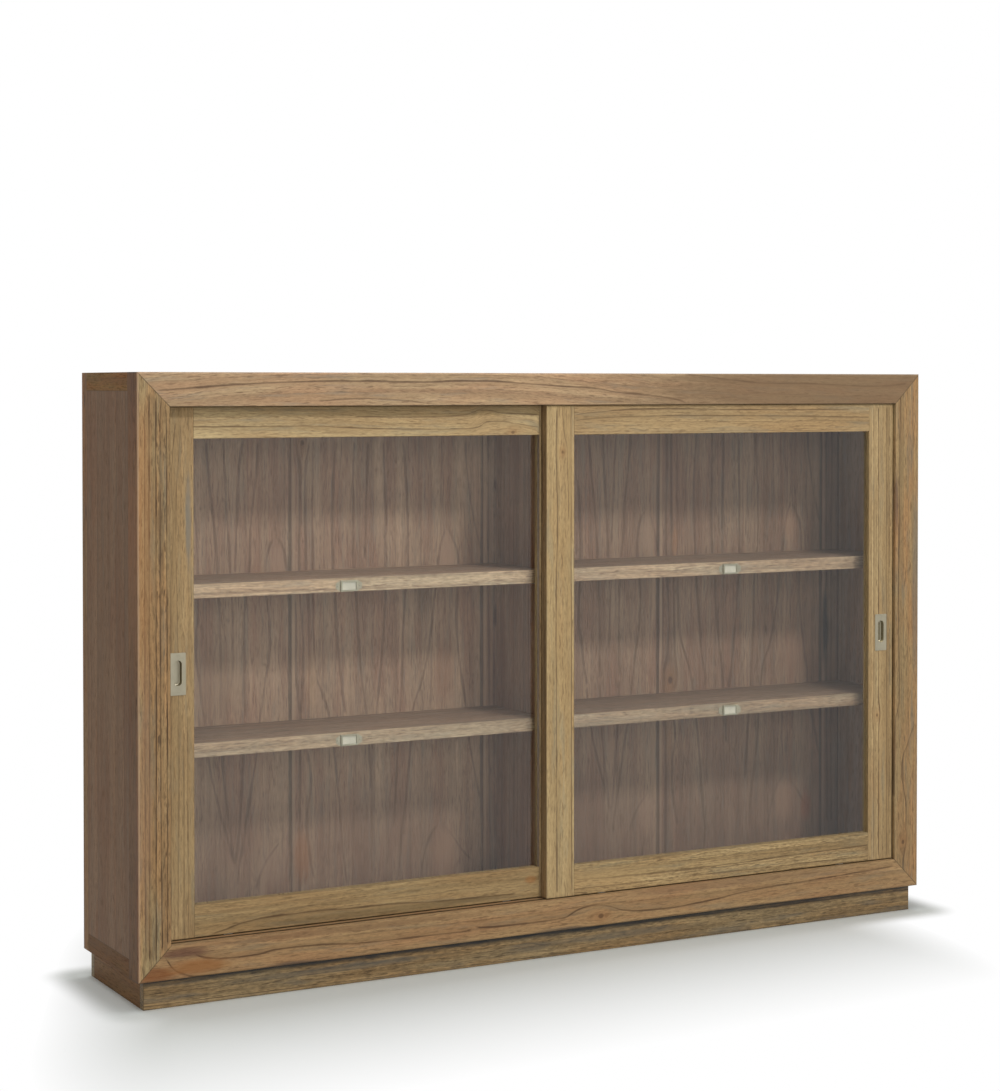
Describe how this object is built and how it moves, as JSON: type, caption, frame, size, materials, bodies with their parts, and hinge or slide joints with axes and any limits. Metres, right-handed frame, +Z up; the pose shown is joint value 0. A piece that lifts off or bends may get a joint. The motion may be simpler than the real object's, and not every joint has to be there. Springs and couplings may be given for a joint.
{
  "type": "bookcase with sliding doors",
  "caption": "Low, wide hardwood bookcase on a recessed plinth, with a mitred front frame and framed glass doors that slide past each other over pinned shelves.",
  "frame": {"origin": "middle of the footprint, on the floor", "axes": "+X to the right along the length, +Y from the front to the back, +Z up"},
  "size_m": [2, 0.35, 1.31],
  "materials": {
    "frame_wood": "brushed hardwood under a satin oil, golden brown",
    "side_wood": "brushed hardwood under a satin oil",
    "door_wood": "brushed hardwood under a satin oil, a little paler and more yellow",
    "plinth_wood": "brushed hardwood under a satin oil, darker",
    "inner_wood": "hardwood veneer under a satin oil",
    "shelf_wood": "hardwood under a satin oil, pale front edge",
    "nickel": "satin nickel plate",
    "steel": "plain steel",
    "track_metal": "bronze-coloured channel",
    "glass": "clear float glass",
    "card": "matt blank card",
    "wheel_plastic": "turned nylon",
    "housing_plastic": "moulded plastic"
  },
  "bodies": {
    "carcass": {"plinth_front": "plinth_wood", "plinth_back": "plinth_wood", "plinth_left": "plinth_wood", "plinth_right": "plinth_wood", "plinth_corner_blocks": "plinth_wood", "bottom_board": "inner_wood", "top_board": "frame_wood", "frame_head": "frame_wood", "frame_sill": "frame_wood", "frame_jamb_left": "frame_wood", "frame_jamb_right": "frame_wood", "left_side_panel": "side_wood", "left_side_top_rail": "side_wood", "left_side_bottom_rail": "side_wood", "left_side_back_stile": "side_wood", "right_side_panel": "side_wood", "right_side_top_rail": "side_wood", "right_side_bottom_rail": "side_wood", "right_side_back_stile": "side_wood", "centre_divider": "inner_wood", "back_board_1": "inner_wood", "back_board_2": "inner_wood", "back_board_3": "inner_wood", "back_board_4": "inner_wood", "back_board_5": "inner_wood", "back_top_rail": "inner_wood", "back_bottom_rail": "inner_wood", "shelf_left_lower": "shelf_wood", "shelf_left_upper": "shelf_wood", "shelf_right_lower": "shelf_wood", "shelf_right_upper": "shelf_wood", "shelf_pins": "steel", "label_holders": "nickel", "label_cards": "card", "label_pins": "nickel", "sill_tracks": "track_metal"},
    "left_door": {"left_door_outer_stile": "door_wood", "left_door_meeting_stile": "door_wood", "left_door_top_rail": "door_wood", "left_door_bottom_rail": "door_wood", "left_door_glass": "glass", "left_door_glazing_beads": "door_wood", "left_door_pull": "nickel", "left_door_pull_screws": "nickel", "left_door_wheel_housings": "housing_plastic", "left_door_wheel_axles": "steel"},
    "right_door": {"right_door_outer_stile": "door_wood", "right_door_meeting_stile": "door_wood", "right_door_top_rail": "door_wood", "right_door_bottom_rail": "door_wood", "right_door_glass": "glass", "right_door_glazing_beads": "door_wood", "right_door_pull": "nickel", "right_door_pull_screws": "nickel", "right_door_wheel_housings": "housing_plastic", "right_door_wheel_axles": "steel"},
    "left_door_left_wheel": {"left_door_wheel_left": "wheel_plastic"},
    "left_door_right_wheel": {"left_door_wheel_right": "wheel_plastic"},
    "right_door_left_wheel": {"right_door_wheel_left": "wheel_plastic"},
    "right_door_right_wheel": {"right_door_wheel_right": "wheel_plastic"}
  },
  "joints": [
    {"name": "left_door_slide", "type": "slide", "parent": "carcass", "child": "left_door", "axis": [1, 0, 0], "range_m": [0, 0.906]},
    {"name": "right_door_slide", "type": "slide", "parent": "carcass", "child": "right_door", "axis": [-1, 0, 0], "range_m": [0, 0.887]},
    {"name": "left_door_left_wheel_turn", "type": "hinge", "parent": "left_door", "child": "left_door_left_wheel", "pos_m": [-0.787, -0.13, 0.1383], "axis": [0, 1, 0], "range_deg": [0, 4400]},
    {"name": "left_door_right_wheel_turn", "type": "hinge", "parent": "left_door", "child": "left_door_right_wheel", "pos_m": [-0.121, -0.13, 0.1383], "axis": [0, 1, 0], "range_deg": [0, 4400]},
    {"name": "right_door_left_wheel_turn", "type": "hinge", "parent": "right_door", "child": "right_door_left_wheel", "pos_m": [0.111, -0.156, 0.1383], "axis": [0, -1, 0], "range_deg": [0, 4400]},
    {"name": "right_door_right_wheel_turn", "type": "hinge", "parent": "right_door", "child": "right_door_right_wheel", "pos_m": [0.777, -0.156, 0.1383], "axis": [0, -1, 0], "range_deg": [0, 4400]}
  ],
  "couplings": [
    {"joint": "left_door_left_wheel_turn", "follows": "left_door_slide", "rad_per_m": 83.333},
    {"joint": "left_door_right_wheel_turn", "follows": "left_door_slide", "rad_per_m": 83.333},
    {"joint": "right_door_left_wheel_turn", "follows": "right_door_slide", "rad_per_m": 83.333},
    {"joint": "right_door_right_wheel_turn", "follows": "right_door_slide", "rad_per_m": 83.333}
  ]
}
